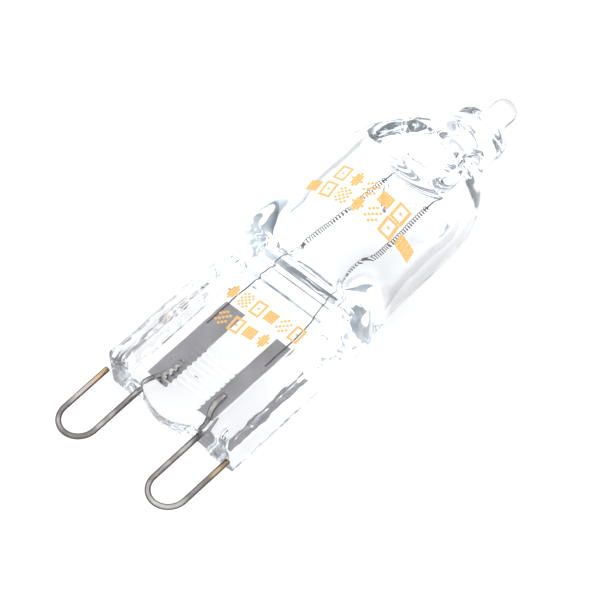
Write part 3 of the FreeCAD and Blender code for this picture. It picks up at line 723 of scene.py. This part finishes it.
def envelope_grid():
    """Outside of the glass: the H section of the pinch turns into the bulb's circle at the neck.

    Across and height are the pinch's times one less a share, plus the bulb's times that share. The
    pinch has round feet, press lines, a ripple and nubs, and the bulb has its two dimples.
    """
    quarter_y, quarter_z, quarter_web, quarter_angle = pinch_quarter()
    y_pinch = all_round(quarter_y, mirror_y=-1)
    side_z = all_round(np.ones_like(quarter_z), mirror_z=-1)
    z_pinch = all_round(quarter_z)
    web_share = all_round(quarter_web)
    cos_round = all_round(np.cos(quarter_angle), mirror_y=-1)
    sin_round = all_round(np.sin(quarter_angle))

    nominal = row_heights()[:, None]
    height = z_pinch + web_level(nominal) * web_share
    foot = foot_height(y_pinch, side_z * height[0])
    x = nominal + foot * np.maximum(1 - nominal / FOOT_FADE, 0) ** 2
    y = np.broadcast_to(y_pinch, x.shape)

    lines = (x - PRESS_START) / PRESS_PITCH
    ends = 1 - smooth_step(
        abs(y - PRESS_MIDDLE), PRESS_HALF_LENGTH - PRESS_FADE, PRESS_HALF_LENGTH)
    slope = abs(lines - np.round(lines)) * PRESS_PITCH * PRESS_SLOPE
    on_lines = (lines > -0.5) & (lines < PRESS_COUNT - 0.5) & (side_z > 0)
    height = height - np.maximum(PRESS_DEPTH * ends - slope, 0) * on_lines

    on_rail = 1 - np.clip(web_share * 3, 0, 1)
    uneven = smooth_step(x, *RIPPLE_FADE_IN) * (1 - smooth_step(x, NECK - 1, NECK))
    waves = ripple(x, y * RIPPLE_STRETCH, RIPPLE_SIZE, RIPPLE_SEED)
    height = height + RIPPLE_DEPTH * on_rail * uneven * waves * (height > 1.0)

    dome = 1 - ((x - NUB_HEIGHT) ** 2 + height ** 2) / NUB_RADIUS ** 2
    on_side = abs(y) > HALF_WIDTH - RAIL_BARREL - 0.05
    y = y + np.sign(y) * NUB_RISE * np.maximum(dome, 0) * on_side

    wide, deep, square = bulb_section(nominal)
    flatness = wide / np.maximum(deep, 1e-6)
    flatness = np.where(nominal < DOME_START, flatness, 1.0)
    out = wide * (abs(cos_round) ** square + (sin_round * flatness) ** square) ** (-1 / square)
    round_y = envelope_offset(nominal) + out * cos_round
    round_z = out * sin_round
    mouth = DIMPLE_ROUNDING * (1 - smooth_step(abs(nominal - CROSSING), *DIMPLE_FADE))
    mouth = mouth * smooth_step(sin_round, *DIMPLE_FADE_ROUND)
    dimpled = soft_min(round_z, dimple_height(nominal, round_y), mouth)
    round_z = np.where(abs(nominal - CROSSING) < DIMPLE_FADE[1], dimpled, round_z)

    bulb = smooth_step(nominal, *NECK_BLEND)
    y = y * (1 - bulb) + round_y * bulb
    z = side_z * (height * (1 - bulb) + round_z * bulb)
    body = np.stack([x, y, z], axis=-1)

    share = np.sin(steps(0, math.pi / 2, CAP_ROWS))[:, None]
    cap_z = share * z[0]
    cap_y = np.broadcast_to(y[0], cap_z.shape)
    cap = np.stack([foot_height(cap_y, cap_z), cap_y, cap_z], axis=-1)
    return np.concatenate([cap, body])


# The hollow: rays round the bridge's pillar, each carried over the front and then under the back

def hollow_half_width(x):
    """Half width of the hollow: curved foot, straight tube, round dome, cone and sealed bore."""
    inner = BULB_RADIUS - BULB_WALL
    fall = DOME_FALL * inner / BULB_RADIUS
    round_end = DOME_START + dome_round(inner, fall)
    turn = np.clip((x - CAVITY_FOOT) / (CAVITY_FULL - CAVITY_FOOT), 0, 1)
    widening = np.sin(turn * math.pi / 2) ** CAVITY_CURVE
    shoulder = CAVITY_HALF_WIDTH + (inner - CAVITY_HALF_WIDTH) * widening
    dome = np.sqrt(np.maximum(inner ** 2 - np.maximum(x - DOME_START, 0) ** 2, 0))
    bore = np.interp(
        x, (round_end, COLLAR_START - BULB_WALL, BORE_START, BORE_END),
        (inner - fall, COLLAR_RADIUS - BULB_WALL, BORE_RADIUS, 0))
    return np.where(x < DOME_START, shoulder, np.where(x < round_end, dome, bore))


def hollow_grid():
    """Inside of the glass: each ray starts at the pillar and ends at the hollow's flat outline.

    Its height is the depth times the root of 1 less the share across, as for the outside, rounded
    at the foot and held down beside the pillar to a power of the distance from it.
    """
    foot_y = np.linspace(0, CAVITY_HALF_WIDTH, 60)
    outline_x = np.concatenate([
        np.full_like(foot_y, CAVITY_FOOT), np.linspace(CAVITY_FOOT, BORE_START, 400),
        np.linspace(BORE_START, BORE_END, 80)])
    outline_y = hollow_half_width(outline_x)
    outline_y[:len(foot_y)] = foot_y
    outline_angle = np.arctan2(outline_y, outline_x - CROSSING)
    order = np.argsort(outline_angle)
    outline_distance = np.hypot(outline_x - CROSSING, outline_y)

    u = steps(-1, 1, HOLLOW_RAYS)
    angle = math.pi * u - HOLLOW_RAY_CROWDING * np.sin(2 * math.pi * u)
    far = np.interp(abs(angle), outline_angle[order], outline_distance[order])
    near = (abs(np.cos(angle) / PILLAR_HALF_LENGTH) ** PILLAR_SQUARENESS
            + abs(np.sin(angle) / PILLAR_HALF_WIDTH) ** PILLAR_SQUARENESS
            ) ** (-1 / PILLAR_SQUARENESS)
    share = np.sin(np.linspace(0, math.pi / 2, HOLLOW_RAY_POINTS))[:, None] ** 2
    out = near + (far - near) * share
    x = CROSSING + out * np.cos(angle)
    y = out * np.sin(angle)
    wide = np.maximum(hollow_half_width(x), 1e-6)
    reach = CAVITY_BLEND * (1 - smooth_step(x, CAVITY_FULL - CAVITY_BLEND_RUN, CAVITY_FULL))
    deep = soft_min(shoulder_height(x, SHOULDER_WALL), wide, reach)
    deep = np.where(x < CAVITY_FULL, deep, wide)
    full = BULB_RADIUS - BULB_WALL
    flat = np.clip((full - deep) / (full - HALF_DEPTH + SHOULDER_WALL), 0, 1)
    square = np.where(x < CAVITY_FULL, 2 + CAVITY_SQUARENESS * flat ** 1.5, 2.0)
    height = deep * np.maximum(1 - (abs(y) / wide) ** square, 0) ** (1 / square)
    foot = np.clip((x - CAVITY_FOOT) / CAVITY_ROUNDING, 0, 1)
    height = height * np.sqrt(1 - (1 - foot) ** 2)
    pillar = ((out - near) / PILLAR_FLARE) ** (1 / PILLAR_FLARE_POWER)
    height = soft_min(height, pillar, PILLAR_BLEND * np.minimum(1, (out - near) * (far - out)))
    height = np.maximum(height, 0)
    height[[0, -1]] = 0
    front = np.stack([x, y + BULB_OFFSET, height], axis=-1)
    back = np.stack([x, y + BULB_OFFSET, -height], axis=-1)[-2:0:-1]
    return np.concatenate([front, back])


# Round wires: a circle carried along a flat path

def line(start, end, count):
    """Points from start to end, without the last."""
    share = steps(0, 1, count)[:, None]
    return np.array(start) + share * (np.array(end) - np.array(start))


def arc(middle, radius, first, last, count):
    """Points on a circle from one angle to another, without the last."""
    turn = steps(first, last, count)
    return np.array(middle) + radius * np.stack([np.cos(turn), np.sin(turn)], axis=-1)


def tube(path, radius, level, sides, rounding=0.0):
    """Each point of the path plus radius times the circle spanned by the path's normal and Z.

    Both ends are closed by a ring of no size, the first end after a rounded edge if it has one.
    """
    along = np.gradient(path, axis=0)
    along /= np.linalg.norm(along, axis=1, keepdims=True)
    normal = np.stack([-along[:, 1], along[:, 0]], axis=-1)
    turn = steps(0, 2 * math.pi, sides)
    size = np.full(len(path), float(radius))
    if rounding:
        bend = np.linspace(0, math.pi / 2, 6)
        depth = rounding * (1 - np.cos(bend))
        tip = path[0] + along[0] * depth[:, None]
        size = np.concatenate([[0.0], radius - rounding * (1 - np.sin(bend)), size[1:]])
        path = np.concatenate([tip[:1], tip, path[1:]])
        normal = np.concatenate([np.repeat(normal[:1], len(bend), axis=0), normal])
    end = np.zeros(1)
    size = np.concatenate([size, end])
    path, normal = np.concatenate([path, path[-1:]]), np.concatenate([normal, normal[-1:]])
    if not rounding:
        size = np.concatenate([end, size])
        path, normal = np.concatenate([path[:1], path]), np.concatenate([normal[:1], normal])
    ring = size[:, None] * np.cos(turn)
    x = path[:, :1] + normal[:, :1] * ring
    y = path[:, 1:] + normal[:, 1:] * ring
    return np.stack([x, y, level + size[:, None] * np.sin(turn)], axis=-1)


def contact_wire_grid(side):
    """Hairpin loop whose inner leg cranks towards the middle and ends in a flattened weld.

    There the height goes over to a half depth times the hyperbolic tangent of height over it.
    """
    outer, inner = LOOP_MIDDLE + HALF_LOOP, LOOP_MIDDLE - HALF_LOOP
    bottom = WIRE_RADIUS + HALF_LOOP - LOOP_REACH
    crank = np.linspace(CRANK_START, CRANK_START + CRANK_RUN, 25)
    cranked = s_bend(crank, crank[0], crank[-1], inner, inner - CRANK)
    path = np.concatenate([
        line((FREE_END, outer), (bottom, outer), 24),
        arc((bottom, LOOP_MIDDLE), HALF_LOOP, math.pi / 2, 3 * math.pi / 2, 48),
        line((bottom, inner), (CRANK_START, inner), 24),
        np.stack([crank, cranked], axis=-1)[:-1],
        line((crank[-1], inner - CRANK), (crank[-1] + WELD_LENGTH, inner - CRANK), 8),
        [(crank[-1] + WELD_LENGTH, inner - CRANK)]])
    path[:, 1] *= side
    grid = tube(path, WIRE_RADIUS, 0.0, LOOP_SIDES, FREE_END_ROUNDING)
    inside = smooth_step(grid[..., 0], *WELD_FLATTENING)
    flat = WELD_HALF_DEPTH * np.tanh(grid[..., 2] / WELD_HALF_DEPTH * WELD_STEEPNESS)
    grid[..., 2] = grid[..., 2] * (1 - inside) + flat * inside
    return grid


def coil_grid(side):
    """Thin wire carried along a helix about the straight line from the coil's foot to its head.

    A spoke turns about that line, and the wire's circle is spanned by the spoke and the line.
    """
    start = np.array([COIL_START, HALF_COIL_FOOT * side, 0.0])
    end = np.array([COIL_END, HALF_COIL_HEAD * side, 0.0])
    axis = (end - start) / np.linalg.norm(end - start)
    out = np.array([-axis[1], axis[0], 0.0])
    up = np.array([0.0, 0.0, 1.0])
    turn = np.linspace(0, 2 * math.pi * COIL_TURNS, COIL_STEPS * COIL_TURNS + 1)[:, None]
    share = turn / turn[-1]
    spoke = np.cos(turn) * out + np.sin(turn) * up
    middle = start + (end - start) * share + (COIL_RADIUS - COIL_WIRE_RADIUS) * spoke
    about = steps(0, 2 * math.pi, COIL_SIDES)
    ring = spoke[:, None] * np.cos(about)[:, None] + axis * np.sin(about)[:, None]
    wound = middle[:, None] + COIL_WIRE_RADIUS * ring
    foot = middle[None, :1].repeat(COIL_SIDES, axis=1)
    head = middle[None, -1:].repeat(COIL_SIDES, axis=1)
    return np.concatenate([foot, wound, head]) + np.array([0.0, BULB_OFFSET, LEAD_LEVEL])


def crossing_grid():
    """Bare middle of the filament wire, up one side, across the bridge and down the other."""
    foot = COIL_END - 2 * COIL_RADIUS
    bend = CROSSING - CROSSING_BEND
    across = HALF_COIL_HEAD - CROSSING_BEND
    path = np.concatenate([
        line((foot, HALF_COIL_HEAD), (bend, HALF_COIL_HEAD), 10),
        arc((bend, across), CROSSING_BEND, math.pi / 2, 0, 10),
        line((CROSSING, across), (CROSSING, -across), 12),
        arc((bend, -across), CROSSING_BEND, 0, -math.pi / 2, 10),
        line((bend, -HALF_COIL_HEAD), (foot, -HALF_COIL_HEAD), 10),
        [(foot, -HALF_COIL_HEAD)]])
    path[:, 1] += BULB_OFFSET
    return tube(path, LEAD_RADIUS, LEAD_LEVEL, CROSSING_SIDES)


# Stamped marks: small round dots of ink on the glass, in rows of plain shapes

def mark_cells(kind):
    """Cells of a five by seven block that belong to a plain shape, by a rule on their place."""
    across, down = np.meshgrid(np.arange(-2, 3), np.arange(-3, 4), indexing="ij")
    rules = {
        "diamond": abs(across) * 1.5 + abs(down) <= 3.6,
        "frame": (abs(across) == 2) | (abs(down) == 3) | ((across == 0) & (down == 0)),
        "stripes": (across + down) % 3 == 0,
        "checks": (across + down) % 2 == 0,
        "block": (abs(across) <= 2) & (abs(down) <= 2),
    }
    inside = rules[kind]
    return np.stack([across[inside], down[inside]], axis=-1).astype(float)


def row_of_marks(kinds, corner, run, dot_pitch, height_at):
    """Dots of ink for one row of shapes, each a low dome of rings set on the glass."""
    corner, run = np.array(corner), np.array(run)
    along = run / np.linalg.norm(run)
    down = np.array([along[1], -along[0]]) * (-1 if along[1] > 0 else 1)
    cells = np.concatenate([
        mark_cells(kind) + np.array([k * DOTS_PER_SHAPE, 0.0]) for k, kind in enumerate(kinds)])
    centres = corner + dot_pitch * (cells[:, :1] * along + cells[:, 1:] * down)
    turn = steps(0, 2 * math.pi, DOT_SIDES)
    circle = np.stack([np.cos(turn), np.sin(turn)], axis=-1)
    flat = centres[:, None, None] + (DOT_RINGS * dot_pitch)[:, None, None] * circle
    height = height_at(flat[..., 0], flat[..., 1]) + DOT_LIFTS[:, None]
    dots = np.concatenate([flat, height[..., None]], axis=-1)
    points = placed(dots.reshape(-1, 3))
    first_points = DOT_RINGS.size * DOT_SIDES * np.arange(len(dots))
    faces = grid_faces(DOT_RINGS.size, DOT_SIDES) + first_points[:, None, None]
    return points, faces.reshape(-1, 4)


# Rows of shapes on the bulb and on the pinch: their kinds, where the row starts and which way it
# runs, up the lamp and across it
BULB_MARKS = (
    (("frame", "diamond", "stripes", "block", "frame"), (20.85, 2.0), (0.6, -6.2)),
    (("block", "frame", "checks", "diamond", "stripes", "frame", "block"), (18.9, 3.1),
     (1.3, -8.3)),
)
PINCH_MARKS = (
    (("diamond", "checks", "frame", "block", "stripes", "frame"), (10.1, 3.2), (0.3, -7.3)),
    (("stripes", "frame", "block", "diamond"), (8.0, 2.2), (0.5, -4.5)),
)


# The lamp's pieces

quartz = quartz_finish()
wire = contact_wire_finish()
foil = foil_finish()
lead = tungsten_finish("thin_lead_wire", (0.16, 0.15, 0.15, 1), (0.07, 0.065, 0.065, 1))
tungsten = tungsten_finish("coiled_tungsten", (0.13, 0.12, 0.12, 1), (0.05, 0.045, 0.047, 1))
ink = ink_finish()

add_piece(
    "quartz_envelope",
    [shell(envelope_grid()), shell(hollow_grid(), closed_rows=True, inward=True)],
    quartz, ["glass_envelope"])
for name, side in (("left", 1), ("right", -1)):
    add_piece(
        f"contact_loop_{name}", [shell(contact_wire_grid(side))], wire,
        [f"contact_wire_{name}"])
add_piece(
    "coiled_filament", [shell(coil_grid(1)), shell(coil_grid(-1)), shell(crossing_grid())],
    tungsten, ["filament"])

for name, finish in (("sealing_foil", foil), ("inner_lead", lead)):
    for side in ("left", "right"):
        node = frame["nodes"][f"{name}_{side}"]
        node.data.materials.clear()
        node.data.materials.append(finish)

ink_shells = [row_of_marks(*row, BULB_DOT_PITCH, bulb_front) for row in BULB_MARKS]
ink_shells += [row_of_marks(*row, PINCH_DOT_PITCH, web_front) for row in PINCH_MARKS]
add_piece("stamped_marks", ink_shells, ink)


# Studio: a pale table under a bright sky with a grey horizon. The table's half side is in metres,
# and its fade is the pair of distances in millimetres between which it turns grey and its painted
# pool of light dies away.
TABLE_HALF = 0.6
TABLE_FADE = (38.0, 75.0)
SKY = (
    (0.0, (0.20, 0.22, 0.25, 1)),
    (0.05, (0.46, 0.50, 0.56, 1)),
    (0.14, (0.70, 0.74, 0.79, 1)),
    (0.40, (1.0, 1.0, 1.0, 1)),
)
SKY_STRENGTH = 1.25
CAMERA_PLACE = (-0.1530987, -0.1254009, 0.2141198)
CAMERA_TURN = (43.0117, -3.6281, -46.5389)
CAMERA_LENS = 237.6


def studio_floor():
    """Square table top, level at the height on which the lamp lies."""
    mesh = bpy.data.meshes.new("table_top")
    corners = [(TABLE_HALF * x, TABLE_HALF * y, 0) for x, y in ((-1, -1), (1, -1), (1, 1), (-1, 1))]
    mesh.from_pydata(corners, [], [(0, 1, 2, 3)])
    # Painted light: the table glows white around the lamp, which fills in the lamp's shadow, and
    # both its glow and its colour fall to a dim grey between the fade distances.
    finish = Finish("pale_table", Roughness=0.6, Emission_Strength=0.45)
    distance = finish.node(
        "ShaderNodeVectorMath", {"operation": "LENGTH"}, {0: finish.place()}, "Value")
    away = finish.between(distance, *TABLE_FADE)
    finish.feed("Base Color", finish.blend(away, (0.75, 0.75, 0.75, 1), (0.46, 0.47, 0.49, 1)))
    finish.feed("Emission Color", finish.blend(away, (1.0, 1.0, 1.0, 1), (0.1, 0.11, 0.12, 1)))
    mesh.materials.append(finish.material)
    floor = bpy.data.objects.new("table_top", mesh)
    bpy.context.scene.collection.objects.link(floor)


def studio_sky():
    """Even light from above that falls off to a grey horizon."""
    world = bpy.data.worlds.new("studio")
    world.use_nodes = True
    nodes, links = world.node_tree.nodes, world.node_tree.links
    direction = nodes.new("ShaderNodeTexCoord")
    split = nodes.new("ShaderNodeSeparateXYZ")
    ramp = nodes.new("ShaderNodeValToRGB")
    for place, colour in SKY:
        element = ramp.color_ramp.elements.new(place)
        element.color = colour
    ramp.color_ramp.elements.remove(ramp.color_ramp.elements[0])
    ramp.color_ramp.elements.remove(ramp.color_ramp.elements[-1])
    links.new(direction.outputs["Generated"], split.inputs[0])
    links.new(split.outputs["Z"], ramp.inputs[0])
    links.new(ramp.outputs[0], nodes["Background"].inputs["Color"])
    nodes["Background"].inputs["Strength"].default_value = SKY_STRENGTH
    bpy.context.scene.world = world


def studio_camera():
    """Long lens from above the contact loops, level enough to see down the bulb."""
    data = bpy.data.cameras.new("camera")
    data.lens = CAMERA_LENS
    data.sensor_width = 36.0
    data.clip_start = 0.01
    camera = bpy.data.objects.new("camera", data)
    camera.location = CAMERA_PLACE
    camera.rotation_euler = [math.radians(turn) for turn in CAMERA_TURN]
    bpy.context.scene.collection.objects.link(camera)
    bpy.context.scene.camera = camera


studio_floor()
studio_sky()
studio_camera()
bpy.context.scene.view_settings.view_transform = "Standard"
